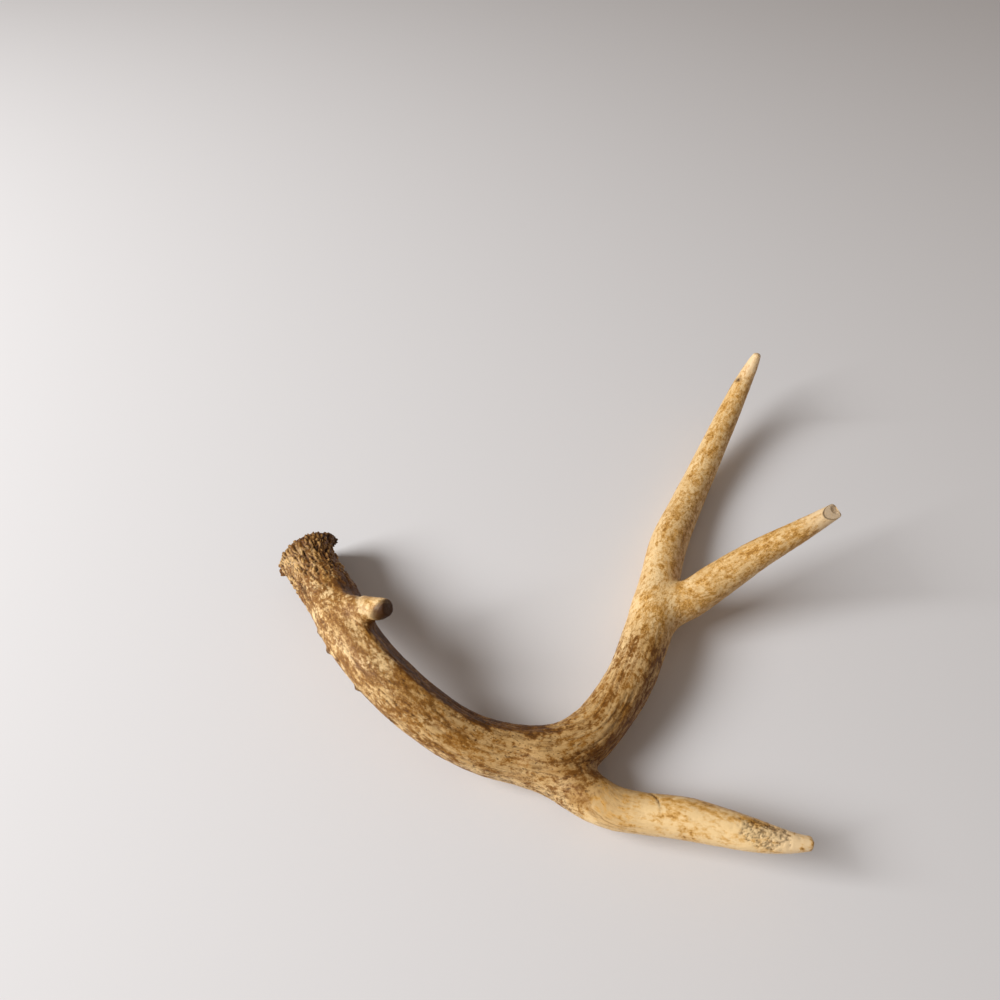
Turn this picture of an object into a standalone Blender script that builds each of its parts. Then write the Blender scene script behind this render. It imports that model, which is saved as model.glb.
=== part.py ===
"""A shed deer antler with four points, lying on its outer side.

The antler is one grown piece of bone.  It is modelled as one smooth body and
then sawn, at its main forks, into the limbs that a carver would name: the
lower beam with its burr, the brow tine, the second tine, the upper beam, the
third tine and the tip of the beam.

Lengths in the tables are millimetres.  +Z is up and the antler rests on z = 0.
"""
import math

import bmesh
import bpy
import numpy as np
from mathutils import Matrix, Vector

MM = 0.001

# --- driving dimensions ------------------------------------------------------

# Each limb is a line of round stations: x, y, height above the floor, radius.
MAIN_BEAM = (
    (-136.5, 2.5, 21.2, 14.6),
    (-128.5, -10.5, 23.8, 14.2),
    (-117.0, -28.5, 29.0, 14.2),
    (-105.5, -50.0, 34.0, 13.6),
    (-92.5, -67.5, 35.0, 13.4),
    (-78.5, -80.5, 32.0, 13.5),
    (-61.5, -92.0, 25.5, 13.4),
    (-43.5, -100.5, 19.0, 13.4),
    (-24.0, -105.0, 15.2, 13.8),
    (-6.0, -106.0, 14.4, 14.0),
    (9.5, -100.5, 15.6, 13.2),
    (24.0, -87.0, 16.6, 12.4),
    (37.5, -67.8, 17.6, 12.4),
    (46.8, -48.0, 17.2, 12.7),
    (56.0, -25.0, 16.0, 12.6),
    (63.5, -0.5, 13.6, 11.4),
    (72.9, 27.0, 11.3, 11.1),
    (89.5, 60.5, 10.1, 9.9),
    (105.5, 90.5, 14.0, 8.9),
    (124.5, 125.5, 23.0, 7.6),
    (137.5, 147.5, 36.0, 5.9),
    (143.2, 154.5, 48.0, 3.9),
    (145.0, 156.0, 54.8, 2.4),
)
BROW_TINE = (
    (-112.0, -38.5, 37.0, 9.2),
    (-101.5, -42.2, 43.0, 8.2),
    (-94.0, -45.3, 48.2, 7.0),
    (-88.3, -47.0, 52.2, 5.7),
    (-85.2, -47.8, 54.2, 4.4),
)
SECOND_TINE = (
    (-9.0, -110.0, 15.0, 11.5),
    (9.0, -123.0, 14.6, 11.0),
    (22.0, -130.6, 15.0, 9.9),
    (36.0, -134.0, 16.5, 9.1),
    (54.0, -137.0, 18.5, 9.3),
    (69.5, -141.5, 20.5, 8.5),
    (84.0, -146.0, 22.5, 6.9),
    (97.0, -149.2, 24.5, 4.5),
    (106.0, -150.2, 25.8, 2.8),
)
THIRD_TINE = (
    (58.0, -25.5, 17.0, 11.0),
    (74.5, -21.0, 21.5, 10.5),
    (89.0, -14.0, 28.0, 10.0),
    (103.0, -7.5, 35.0, 9.1),
    (115.5, -2.5, 42.0, 7.9),
    (135.5, 4.0, 52.0, 6.1),
    (148.6, 8.4, 59.8, 4.6),
    (152.6, 9.6, 62.4, 3.9),
)
PATH_STEPS = 6  # points along a limb between two stations

# The burr is the flared ring round the base, with the rough seal inside it.
BURR_AXIS = Vector((-0.61, 0.73, 0.305)).normalized()
BURR_CENTRE = Vector((-140.7, 15.3, 16.95))
BURR_RADIUS = 17.3
BURR_HALF_THICKNESS = 2.6
BURR_EDGE = 2.2
BURR_LOBES = ((0.55, 5, 0.6), (0.45, 9, 2.1), (0.35, 14, 4.0))  # height, count, phase
SEAL_RADIUS = 14.0
SEAL_RISE = 3.4

# How far one shape melts into the next.
BURR_BLEND = 11.0
BROW_BLEND = 3.5
FORK_BLEND = 7.0
SEAL_BLEND = 2.0

# Saw cuts between limbs: centre, direction along the limb, blade radius.
SAW_GAP = 0.3
SAW_CUTS = {
    "brow_tine": ((-93.0, -45.6, 49.0), (0.55, 0.25, 0.79), 12.0),
    "second_tine": ((21.5, -128.0, 15.2), (0.88, -0.46, 0.07), 14.0),
    "upper_beam": ((22.0, -87.5, 17.0), (0.64, 0.77, 0.04), 18.0),
    "third_tine": ((80.5, -18.5, 24.0), (0.83, 0.34, 0.38), 15.0),
    "beam_tip": ((63.5, 1.5, 13.4), (0.35, 0.93, -0.10), 16.0),
}
LIMB_MARKS = {  # a point inside each limb, by which a sawn piece is known
    "lower_beam": (-78.5, -80.5, 32.0),
    "brow_tine": (-88.3, -47.0, 52.2),
    "second_tine": (54.0, -137.0, 18.5),
    "upper_beam": (42.0, -58.0, 18.0),
    "third_tine": (115.5, -2.5, 42.0),
    "beam_tip": (90.0, 60.0, 10.4),
}
LIMB_COLOURS = {
    "lower_beam": (0.46, 0.29, 0.13, 1.0),
    "brow_tine": (0.62, 0.42, 0.20, 1.0),
    "second_tine": (0.66, 0.50, 0.28, 1.0),
    "upper_beam": (0.55, 0.38, 0.19, 1.0),
    "third_tine": (0.60, 0.39, 0.17, 1.0),
    "beam_tip": (0.56, 0.35, 0.15, 1.0),
}
BONE_ROUGHNESS = 0.5

VOXEL = 1.8
TRIANGLES = 8300
FIT_STEPS = 5
SURE_STEP = 2.0
REST_TRIM = 0.3  # how much is worn off the three spots that touch the floor


# --- the shape as a distance field ------------------------------------------

def limb_path(stations):
    """A smooth line through the stations, as rows of x, y, z, radius."""
    rows = np.array(stations, dtype=float)
    ends = np.vstack([2 * rows[0] - rows[1], rows, 2 * rows[-1] - rows[-2]])
    points = []
    for before, here, there, after in zip(ends, ends[1:], ends[2:], ends[3:]):
        for step in range(PATH_STEPS):
            t = step / PATH_STEPS
            pull = (there - before) * t
            bend = (2 * before - 5 * here + 4 * there - after) * t ** 2
            twist = (3 * here - before - 3 * there + after) * t ** 3
            points.append(0.5 * (2 * here + pull + bend + twist))
    points.append(rows[-1])
    return np.array(points)


def limb_distance(points, path):
    """Distance from each point to the skin of a limb, negative inside it."""
    nearest = np.full(len(points), np.inf)
    for start, end in zip(path, path[1:]):
        run = end[:3] - start[:3]
        share = np.clip((points - start[:3]) @ run / (run @ run), 0.0, 1.0)
        centre = start[:3] + share[:, None] * run
        radius = start[3] + share * (end[3] - start[3])
        gap = np.linalg.norm(points - centre, axis=1) - radius
        nearest = np.minimum(nearest, gap)
    return nearest


def blend(first, second, width):
    """The union of two distances, rounded off where they meet."""
    overlap = np.maximum(width - np.abs(first - second), 0.0) / width
    return np.minimum(first, second) - overlap ** 2 * width / 4


def burr_distance(points):
    """Distance to the ring and seal at the base."""
    axis = np.array(BURR_AXIS)
    side = np.array(BURR_AXIS.cross(Vector((0, 0, 1))).normalized())
    up = np.cross(side, axis)
    offset = points - np.array(BURR_CENTRE)
    along = offset @ axis
    angle = np.arctan2(offset @ up, offset @ side)
    radial = np.linalg.norm(offset - along[:, None] * axis, axis=1)
    rim = np.full(len(points), BURR_RADIUS)
    for height, count, phase in BURR_LOBES:
        rim += height * np.sin(count * angle + phase)
    out = radial - rim + BURR_EDGE
    deep = np.abs(along) - BURR_HALF_THICKNESS + BURR_EDGE
    outside = np.hypot(np.maximum(out, 0), np.maximum(deep, 0))
    ring = outside + np.minimum(np.maximum(out, deep), 0) - BURR_EDGE
    dome = (SEAL_RADIUS ** 2 + SEAL_RISE ** 2) / (2 * SEAL_RISE)
    dome_centre = axis * (BURR_HALF_THICKNESS + SEAL_RISE - dome)
    cap = np.linalg.norm(offset - dome_centre, axis=1) - dome
    seal = np.maximum(np.maximum(cap, radial - SEAL_RADIUS), -along)
    return blend(ring, seal, SEAL_BLEND)


def antler_distance(points):
    """Distance to the skin of the whole antler."""
    shape = blend(limb_distance(points, PATHS["beam"]), burr_distance(points), BURR_BLEND)
    shape = blend(shape, limb_distance(points, PATHS["brow"]), BROW_BLEND)
    shape = blend(shape, limb_distance(points, PATHS["second"]), FORK_BLEND)
    return blend(shape, limb_distance(points, PATHS["third"]), FORK_BLEND)


def fit_to_skin(points, steps=FIT_STEPS):
    """Move points along the field's slope until they lie on the skin."""
    reach = 0.05
    for _ in range(steps):
        here = antler_distance(points)
        slope = np.empty_like(points)
        for axis in range(3):
            nudge = np.zeros(3)
            nudge[axis] = reach
            ahead = antler_distance(points + nudge)
            behind = antler_distance(points - nudge)
            slope[:, axis] = (ahead - behind) / (2 * reach)
        size = np.maximum((slope ** 2).sum(axis=1), 0.25)
        move = np.clip(here / size, -SURE_STEP, SURE_STEP)
        points = points - move[:, None] * slope
    return points


# --- meshes ------------------------------------------------------------------

def clear_objects():
    for item in list(bpy.data.objects):
        bpy.data.objects.remove(item, do_unlink=True)


def add_object(name, mesh):
    item = bpy.data.objects.new(name, mesh)
    bpy.context.scene.collection.objects.link(item)
    return item


def evaluated_mesh(item):
    """The object's mesh with its modifiers applied."""
    bpy.context.view_layer.update()
    graph = bpy.context.evaluated_depsgraph_get()
    return bpy.data.meshes.new_from_object(item.evaluated_get(graph))


def bake_modifiers(item):
    mesh = evaluated_mesh(item)
    item.modifiers.clear()
    item.data = mesh


def mesh_points(mesh):
    flat = np.empty(len(mesh.vertices) * 3)
    mesh.vertices.foreach_get("co", flat)
    return flat.reshape(-1, 3) / MM


def set_mesh_points(mesh, points):
    mesh.vertices.foreach_set("co", (points * MM).ravel())
    mesh.update()


def add_tube(shape, path, sides=20):
    """Append a closed round tube along a limb's path to a bmesh."""
    previous = None
    for index, row in enumerate(path):
        ahead = path[min(index + 1, len(path) - 1), :3]
        behind = path[max(index - 1, 0), :3]
        turn = Vector(ahead - behind).to_track_quat("Z", "Y")
        ring = []
        for side in range(sides):
            angle = 2 * math.pi * side / sides
            spoke = Vector((math.cos(angle), math.sin(angle), 0)) * float(row[3])
            ring.append(shape.verts.new((Vector(row[:3]) + turn @ spoke) * MM))
        if previous is None:
            shape.faces.new(list(reversed(ring)))
        else:
            for side in range(sides):
                after = (side + 1) % sides
                shape.faces.new((previous[side], previous[after], ring[after], ring[side]))
        previous = ring
    shape.faces.new(previous)


def add_burr_blank(shape):
    """Append a plain disc where the burr will be, and the neck that carries it."""
    turn = BURR_AXIS.to_track_quat("Z", "Y").to_matrix().to_4x4()
    bmesh.ops.create_cone(
        shape, cap_ends=True, segments=48,
        radius1=(BURR_RADIUS - 1) * MM, radius2=(BURR_RADIUS - 1) * MM,
        depth=2 * BURR_HALF_THICKNESS * MM,
        matrix=Matrix.Translation(BURR_CENTRE * MM) @ turn)
    start = Vector(MAIN_BEAM[0][:3])
    neck = BURR_CENTRE - start
    turn = neck.to_track_quat("Z", "Y").to_matrix().to_4x4()
    bmesh.ops.create_cone(
        shape, cap_ends=True, segments=48,
        radius1=(MAIN_BEAM[0][3] - 1) * MM, radius2=(MAIN_BEAM[0][3] - 1) * MM,
        depth=neck.length * MM,
        matrix=Matrix.Translation((start + BURR_CENTRE) / 2 * MM) @ turn)


def rough_antler():
    """Tubes and disc, melted into one closed skin of small voxels."""
    shape = bmesh.new()
    for path in PATHS.values():
        add_tube(shape, path)
    add_burr_blank(shape)
    mesh = bpy.data.meshes.new("antler")
    shape.to_mesh(mesh)
    shape.free()
    antler = add_object("antler", mesh)
    remesh = antler.modifiers.new("melt", "REMESH")
    remesh.mode = "VOXEL"
    remesh.voxel_size = VOXEL * MM
    bake_modifiers(antler)
    return antler


def thin_out(antler):
    """Fewer, larger triangles on the plain stretches."""
    shape = bmesh.new()
    shape.from_mesh(antler.data)
    bmesh.ops.triangulate(shape, faces=shape.faces[:])
    shape.to_mesh(antler.data)
    shape.free()
    decimate = antler.modifiers.new("thin", "DECIMATE")
    decimate.ratio = TRIANGLES / len(antler.data.polygons)
    bake_modifiers(antler)
    set_mesh_points(antler.data, fit_to_skin(mesh_points(antler.data), steps=1))


def wear_flat(antler):
    """Trim the spots that touch the floor, then stand the antler on z = 0."""
    floor = mesh_points(antler.data)[:, 2].min() + REST_TRIM
    shape = bmesh.new()
    shape.from_mesh(antler.data)
    everything = shape.verts[:] + shape.edges[:] + shape.faces[:]
    bmesh.ops.bisect_plane(
        shape, geom=everything, plane_co=(0, 0, floor * MM), plane_no=(0, 0, 1),
        clear_inner=True)
    rims = [edge for edge in shape.edges if edge.is_boundary]
    bmesh.ops.holes_fill(shape, edges=rims)
    bmesh.ops.triangulate(shape, faces=[face for face in shape.faces if len(face.verts) > 3])
    bmesh.ops.recalc_face_normals(shape, faces=shape.faces[:])
    bmesh.ops.translate(shape, verts=shape.verts[:], vec=(0, 0, -floor * MM))
    shape.to_mesh(antler.data)
    shape.free()
    return floor


def saw_limbs(antler, drop):
    """Cut the antler at its forks and return the loose limbs."""
    blades = []
    for name, (centre, direction, radius) in SAW_CUTS.items():
        turn = Vector(direction).to_track_quat("Z", "Y").to_matrix().to_4x4()
        place = Matrix.Translation((Vector(centre) - Vector((0, 0, drop))) * MM)
        disc = bmesh.new()
        bmesh.ops.create_cone(
            disc, cap_ends=True, segments=32, radius1=radius * MM,
            radius2=radius * MM, depth=SAW_GAP * MM, matrix=place @ turn)
        blade_mesh = bpy.data.meshes.new("blade_" + name)
        disc.to_mesh(blade_mesh)
        disc.free()
        blade = add_object("blade_" + name, blade_mesh)
        cut = antler.modifiers.new("cut_" + name, "BOOLEAN")
        cut.operation = "DIFFERENCE"
        cut.solver = "EXACT"
        cut.object = blade
        blades.append(blade)
    bake_modifiers(antler)
    for blade in blades:
        bpy.data.objects.remove(blade, do_unlink=True)
    return loose_pieces(antler.data)


def loose_pieces(mesh):
    """Split a mesh into its separate bodies, each as a new mesh."""
    shape = bmesh.new()
    shape.from_mesh(mesh)
    shape.verts.ensure_lookup_table()
    body = [-1] * len(shape.verts)
    count = 0
    for start in shape.verts:
        if body[start.index] >= 0:
            continue
        body[start.index] = count
        queue = [start]
        while queue:
            vert = queue.pop()
            for edge in vert.link_edges:
                other = edge.other_vert(vert)
                if body[other.index] < 0:
                    body[other.index] = count
                    queue.append(other)
        count += 1
    pieces = []
    for number in range(count):
        copy = shape.copy()
        copy.verts.ensure_lookup_table()
        spare = [vert for vert in copy.verts if body[vert.index] != number]
        bmesh.ops.delete(copy, geom=spare, context="VERTS")
        piece = bpy.data.meshes.new("limb")
        copy.to_mesh(piece)
        copy.free()
        pieces.append(piece)
    shape.free()
    return pieces


def bone(name, colour):
    material = bpy.data.materials.new(name)
    material.use_nodes = True
    shader = material.node_tree.nodes["Principled BSDF"]
    shader.inputs["Base Color"].default_value = colour
    shader.inputs["Roughness"].default_value = BONE_ROUGHNESS
    shader.inputs["Metallic"].default_value = 0.0
    return material


def name_limbs(pieces, drop):
    """Give each sawn piece the name of the limb whose mark it holds."""
    for name, mark in LIMB_MARKS.items():
        target = np.array(mark) - (0, 0, drop)
        reach = [np.linalg.norm(mesh_points(piece) - target, axis=1).min() for piece in pieces]
        piece = pieces[int(np.argmin(reach))]
        piece.name = name
        piece.materials.clear()
        piece.materials.append(bone(name + "_bone", LIMB_COLOURS[name]))
        piece.shade_smooth()
        piece.set_sharp_from_angle(angle=math.radians(40))
        add_object(name, piece)


def centre_on_box():
    """Shift the limbs so that the middle of their box stands over the origin."""
    points = np.vstack([mesh_points(bpy.data.objects[name].data) for name in LIMB_MARKS])
    middle = (points.min(axis=0) + points.max(axis=0)) / 2
    middle[2] = points[:, 2].min()
    for name in LIMB_MARKS:
        mesh = bpy.data.objects[name].data
        set_mesh_points(mesh, mesh_points(mesh) - middle)
    return middle


clear_objects()
PATHS = {
    "beam": limb_path(MAIN_BEAM),
    "brow": limb_path(BROW_TINE),
    "second": limb_path(SECOND_TINE),
    "third": limb_path(THIRD_TINE),
}
whole = rough_antler()
set_mesh_points(whole.data, fit_to_skin(mesh_points(whole.data)))
thin_out(whole)
worn = wear_flat(whole)
limbs = saw_limbs(whole, worn)
bpy.data.objects.remove(whole, do_unlink=True)
name_limbs(limbs, worn)
shift = centre_on_box()
print("limbs", len(limbs), "worn", round(worn, 2), "shift", shift.round(2))
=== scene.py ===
# %% [markdown]
# # A shed deer antler, from plain solids to weathered bone
# The frame holds the antler as six plain solids: the lower beam with its burr, the brow
# tine, the second tine, the upper beam, the third tine and the tip of the beam.  They are
# right in size and place, but they are faceted and bare.  This lesson keeps their places
# and grows the real surface on them: beads, furrows, chips, stains and polish.

# %% Load the frame
import heapq
import itertools
import math

import bmesh
import bpy
import numpy as np
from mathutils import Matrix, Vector, kdtree


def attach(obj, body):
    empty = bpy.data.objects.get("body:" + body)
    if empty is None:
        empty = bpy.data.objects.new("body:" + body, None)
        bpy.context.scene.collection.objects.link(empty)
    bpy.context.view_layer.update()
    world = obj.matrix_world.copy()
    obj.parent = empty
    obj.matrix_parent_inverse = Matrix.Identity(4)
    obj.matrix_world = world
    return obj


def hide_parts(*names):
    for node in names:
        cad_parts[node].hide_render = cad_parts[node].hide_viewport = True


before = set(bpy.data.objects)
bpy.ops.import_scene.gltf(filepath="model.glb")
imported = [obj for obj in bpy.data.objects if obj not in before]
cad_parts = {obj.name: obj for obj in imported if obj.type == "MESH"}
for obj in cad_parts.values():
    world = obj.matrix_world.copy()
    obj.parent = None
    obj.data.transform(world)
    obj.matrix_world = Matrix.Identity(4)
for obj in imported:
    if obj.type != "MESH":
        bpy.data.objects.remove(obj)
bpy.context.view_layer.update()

MM = 0.001
print("limbs:", ", ".join(sorted(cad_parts)))

# %% [markdown]
# ## The camera
# The camera comes first, because every later choice is judged through it.  It stands in
# front of the antler and a little above it, and looks down at 48 degrees.  Its place is
# measured from the middle of the antler's footprint, which is the frame's own origin.

# %% Put up the camera
EYE = Vector((-0.0287, -0.2595, 0.366))
LOOKING_DOWN = math.radians(48)

lens = bpy.data.cameras.new("view")
lens.sensor_width = 36.0
lens.lens = 27.04
lens.clip_start = 0.01
camera = bpy.data.objects.new("view", lens)
camera.location = EYE
camera.rotation_euler = (math.radians(90) - LOOKING_DOWN, 0, 0)
bpy.context.scene.collection.objects.link(camera)
bpy.context.scene.camera = camera
print("camera is", round(EYE.length, 3), "m from the middle of the antler")

# %% [markdown]
# ## Reading the solids
# A Blender mesh can be read in one go with `foreach_get`, which fills a numpy array.  The
# file that the frame comes from keeps a separate corner for every face, so corners at the
# same spot are joined again.  From here on, lengths are millimetres.

# %% Read each limb's corners and triangles
def limb_solid(name):
    """A limb's corners, in millimetres, and its triangles."""
    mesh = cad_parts[name].data
    corners = np.empty(len(mesh.vertices) * 3)
    mesh.vertices.foreach_get("co", corners)
    mesh.calc_loop_triangles()
    triangles = np.empty(len(mesh.loop_triangles) * 3, dtype=np.int32)
    mesh.loop_triangles.foreach_get("vertices", triangles)
    spots = np.round(corners.reshape(-1, 3) / MM, 3)
    spots, joined = np.unique(spots, axis=0, return_inverse=True)
    return spots, joined.ravel()[triangles].reshape(-1, 3)


solids = {name: limb_solid(name) for name in sorted(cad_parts)}
for name, (corners, triangles) in solids.items():
    print(f"{name:12} {len(corners):5} corners {len(triangles):5} triangles")

# %% [markdown]
# ## Finding the saw cuts
# The solids were sawn apart, so two neighbours face each other across the width of a saw
# blade.  Corners that lie that close to the neighbour belong to a cut.  The flat plane
# through them, which the smallest singular vector gives, is where the limbs will be parted
# again at the end.

# %% Find the cuts between neighbours
NEIGHBOURS = (
    ("lower_beam", "brow_tine"),
    ("lower_beam", "second_tine"),
    ("lower_beam", "upper_beam"),
    ("upper_beam", "third_tine"),
    ("upper_beam", "beam_tip"),
)
BLADE = 0.8  # neighbours' corners on a cut are nearer than this


def close_corners(here, there):
    """Which corners of one limb are within a blade's width of another's."""
    tree = kdtree.KDTree(len(there))
    for index, corner in enumerate(there):
        tree.insert(corner, index)
    tree.balance()
    return np.array([tree.find(corner)[2] < BLADE for corner in here])


cuts = {}
for root, limb in NEIGHBOURS:
    root_rim = close_corners(solids[root][0], solids[limb][0])
    limb_rim = close_corners(solids[limb][0], solids[root][0])
    ring = solids[limb][0][limb_rim]
    centre = ring.mean(axis=0)
    normal = np.linalg.svd(ring - centre)[2][2]
    across = centre - solids[root][0][root_rim].mean(axis=0)
    normal = normal * np.sign(normal @ across)
    reach = np.linalg.norm(ring - centre, axis=1).max()
    cuts[limb] = (centre, normal, reach, root_rim, limb_rim)
    print(f"{limb:12} cut at {np.round(centre, 1)}, {2 * reach:.1f} mm across")

# %% [markdown]
# ## One skin for the whole antler
# Detail that runs over a fork must not stop at a seam, so it's made on one skin.  Each cut
# face is pushed a little into its neighbour, and a voxel Remesh melts the six overlapping
# solids into one body with small, even faces.  Smoothing then takes out the flat facets of
# the solids.  Plain smoothing shrinks thin tips, so each pull is followed by a slightly
# stronger push, which is known as Taubin smoothing.

# %% Melt the solids into one skin
CELL = 0.6
OVERLAP = 0.5
SMOOTH_ROUNDS = int(18 / CELL)
PULL = 0.6
PUSH = -0.62


def new_mesh(name, corners, faces):
    """A mesh object from corners in millimetres."""
    mesh = bpy.data.meshes.new(name)
    mesh.from_pydata((np.asarray(corners) * MM).tolist(), [], np.asarray(faces).tolist())
    thing = bpy.data.objects.new(name, mesh)
    bpy.context.scene.collection.objects.link(thing)
    return thing


def joined_solids():
    """All six solids as one list of corners and triangles, overlapping at the cuts."""
    pushed = {name: corners.copy() for name, (corners, _) in solids.items()}
    for root, limb in NEIGHBOURS:
        _, normal, _, root_rim, limb_rim = cuts[limb]
        pushed[root][root_rim] += OVERLAP * normal
        pushed[limb][limb_rim] -= OVERLAP * normal
    corners, faces, count = [], [], 0
    for name, (_, triangles) in solids.items():
        corners.append(pushed[name])
        faces.append(triangles + count)
        count += len(pushed[name])
    return np.vstack(corners), np.vstack(faces)


rough = new_mesh("rough", *joined_solids())
melt = rough.modifiers.new("melt", "REMESH")
melt.mode = "VOXEL"
melt.voxel_size = CELL * MM
melted = bpy.data.meshes.new_from_object(
    rough.evaluated_get(bpy.context.evaluated_depsgraph_get()))
bpy.data.objects.remove(rough)

skin = np.empty(len(melted.vertices) * 3)
melted.vertices.foreach_get("co", skin)
skin = skin.reshape(-1, 3) / MM
edges = np.empty(len(melted.edges) * 2, dtype=np.int32)
melted.edges.foreach_get("vertices", edges)
edges = edges.reshape(-1, 2)
quads = np.empty(len(melted.loops), dtype=np.int32)
melted.loops.foreach_get("vertex_index", quads)
quads = quads.reshape(-1, 4)
ends_a, ends_b = edges[:, 0], edges[:, 1]
valence = np.bincount(edges.ravel(), minlength=len(skin)).astype(float)
print(f"skin: {len(skin)} points, {len(quads)} faces")


def averaged(values):
    """At each point, the mean of its neighbours' values."""
    columns = values.reshape(len(values), -1)
    total = np.empty_like(columns)
    for k in range(columns.shape[1]):
        column = columns[:, k]
        total[:, k] = np.bincount(ends_a, column[ends_b], len(skin))
        total[:, k] += np.bincount(ends_b, column[ends_a], len(skin))
    return (total / valence[:, None]).reshape(values.shape)


def softened(values, rounds):
    """Values spread over the skin a few points far."""
    for _ in range(rounds):
        values = 0.5 * values + 0.5 * averaged(values)
    return values


for _ in range(SMOOTH_ROUNDS):
    skin = skin + PULL * (averaged(skin) - skin)
    skin = skin + PUSH * (averaged(skin) - skin)


def rounds_for(distance):
    """How often to soften so that values spread that many millimetres."""
    return int(2 * (distance / CELL) ** 2)


# Along each saw cut the skin is softened once more, until no groove is left.
near_cut = np.zeros(len(skin))
for centre, normal, reach, _, _ in cuts.values():
    off = skin - centre
    close = np.clip(reach + 5 - np.linalg.norm(off, axis=1), 0, 1)
    near_cut = np.maximum(near_cut, close * np.clip(2 - np.abs(off @ normal) / 3, 0, 1))
skin += near_cut[:, None] * (softened(skin, rounds_for(1.8)) - skin)
print("smoothed skin spans", np.round(np.ptp(skin, axis=0), 1), "mm")

# %% [markdown]
# ## Centre lines
# Bone grows along the limb, so nearly every mark follows it.  To know where "along" is, the
# distance from the burr is measured over the surface of the solids, from corner to corner,
# the way a route finder does it.  Triangles at about the same distance form a ring, and the
# middle of each ring is a point of the limb's centre line.

# %% Measure each limb's centre line
RING = 6.0  # length of beam that one ring takes in


def roads_between_corners():
    """Neighbouring corners on all solids, and the pairs that face across a cut."""
    starts = dict(zip(solids, np.cumsum([0] + [len(c) for c, _ in solids.values()])))
    spots = np.vstack([corners for corners, _ in solids.values()])
    pairs = []
    for name, (_, triangles) in solids.items():
        for a, b in ((0, 1), (1, 2), (2, 0)):
            pairs.append(triangles[:, (a, b)] + starts[name])
    for root, limb in NEIGHBOURS:
        root_ring = np.flatnonzero(cuts[limb][3]) + starts[root]
        for index in np.flatnonzero(cuts[limb][4]) + starts[limb]:
            gaps = np.linalg.norm(spots[root_ring] - spots[index], axis=1)
            pairs.append([(index, root_ring[gaps.argmin()])])
    return spots, np.vstack(pairs), starts


def distances_from(start, spots, pairs):
    """Shortest way from one corner to every other, along the edges."""
    lengths = np.linalg.norm(spots[pairs[:, 0]] - spots[pairs[:, 1]], axis=1)
    roads = [[] for _ in spots]
    for (a, b), length in zip(pairs.tolist(), lengths.tolist()):
        roads[a].append((b, length))
        roads[b].append((a, length))
    far = np.full(len(spots), np.inf)
    far[start] = 0.0
    queue = [(0.0, start)]
    while queue:
        gone, here = heapq.heappop(queue)
        if gone > far[here]:
            continue
        for there, length in roads[here]:
            if gone + length < far[there]:
                far[there] = gone + length
                heapq.heappush(queue, (far[there], there))
    return far


spots, pairs, starts = roads_between_corners()
burr_end = int(np.argmin(spots[:, 0] - 0.9 * spots[:, 1]))
along = distances_from(burr_end, spots, pairs)
print("the farthest tip is", round(along.max()), "mm from the burr, over the surface")


def ring_middles(names):
    """Rows of x, y, z, radius along the named limbs, from the burr outwards."""
    middles, areas, places = [], [], []
    for name in names:
        corners, triangles = solids[name]
        sides = corners[triangles]
        cross = np.cross(sides[:, 1] - sides[:, 0], sides[:, 2] - sides[:, 0])
        areas.append(np.linalg.norm(cross, axis=1) / 2)
        middles.append(sides.mean(axis=1))
        places.append(along[triangles + starts[name]].mean(axis=1))
    middles, areas, places = np.vstack(middles), np.hstack(areas), np.hstack(places)
    rows = []
    first, last = places.min(), places.max()
    for step in np.linspace(first, last, 1 + int((last - first) / RING)):
        near = np.clip(1 - np.abs(places - step) / RING, 0, 1) * areas
        if near.sum() == 0:
            continue
        centre = (middles * near[:, None]).sum(axis=0) / near.sum()
        size = (np.linalg.norm(middles - centre, axis=1) * near).sum() / near.sum()
        rows.append([*centre, size])
    rows = np.array(rows)
    for _ in range(3):
        rows[1:-1] = (rows[:-2] + 2 * rows[1:-1] + rows[2:]) / 4
    return rows


def finer(rows):
    """Twice as many points on a centre line, with its kinks rounded."""
    steps = np.arange(0, len(rows) - 0.5, 0.5)
    rows = np.stack([np.interp(steps, range(len(rows)), column) for column in rows.T], 1)
    for _ in range(4):
        rows[1:-1] = (rows[:-2] + 2 * rows[1:-1] + rows[2:]) / 4
    return rows


beam = finer(ring_middles(("lower_beam", "upper_beam", "beam_tip")))
lines = {"beam": beam}
for limb in ("brow_tine", "second_tine", "third_tine"):
    tine = ring_middles((limb,))
    root = beam[np.linalg.norm(beam[:, :3] - cuts[limb][0], axis=1).argmin()]
    start = np.append((root[:3] + tine[0, :3]) / 2, tine[0, 3])
    lines[limb] = finer(np.vstack([start, tine]))
for name, rows in lines.items():
    length = np.linalg.norm(np.diff(rows[:, :3], axis=0), axis=1).sum()
    print(f"{name:12} {len(rows):3} rings, {length:5.0f} mm long")

# %% [markdown]
# ## Places along and around a limb
# Each point of the skin is given its own address: the limb it lies on, how far along it is,
# and how far it stands off the centre line in two directions that travel along the limb
# without twisting.  Those three lengths are the *grain* of the point.  Noise that is
# stretched along the first of them gives streaks that follow every bend.

# %% Give every point its address
def unit(rows):
    """The same directions, one long."""
    return rows / np.maximum(np.linalg.norm(rows, axis=-1, keepdims=True), 1e-9)


def travelling_frame(rows):
    """Directions along and across a centre line, carried along without twist."""
    ahead = unit(np.gradient(rows[:, :3], axis=0))
    side = np.cross(ahead[0], (0.0, 0.0, 1.0))
    sides = []
    for direction in ahead:
        side = unit(side - (side @ direction) * direction)
        sides.append(side)
    sides = np.array(sides)
    return ahead, sides, np.cross(ahead, sides)


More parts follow.
